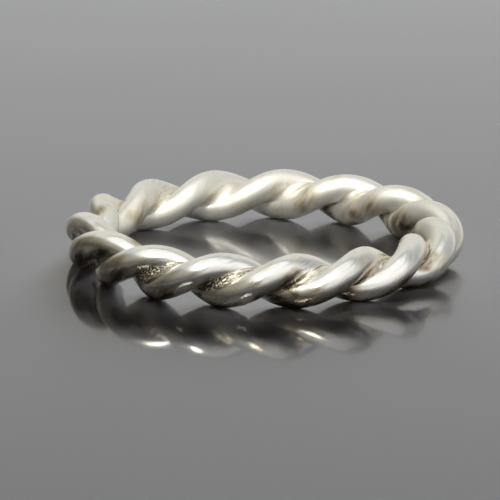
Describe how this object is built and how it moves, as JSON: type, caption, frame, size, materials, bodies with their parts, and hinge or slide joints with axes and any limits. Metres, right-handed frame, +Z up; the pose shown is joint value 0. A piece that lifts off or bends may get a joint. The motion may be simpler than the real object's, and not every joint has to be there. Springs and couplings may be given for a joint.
{
  "type": "rope twist ring",
  "caption": "Silver finger ring of twisted round wires with a left-hand rope lay, lying on its side with its finger hole open.",
  "frame": {"origin": "middle of the finger hole, on the surface that the ring lies on", "axes": "+Z up along the axis of the finger hole; -Y is the front that the picture shows, +X is to its right"},
  "size_m": [0.0237, 0.0232, 0.0031],
  "materials": {
    "silver": "hand-worn polished silver with fine scratches, and dull grey-brown tarnish and solder in the grooves"
  },
  "bodies": {
    "root": {"first_wire": "silver", "second_wire": "silver"}
  },
  "joints": []
}
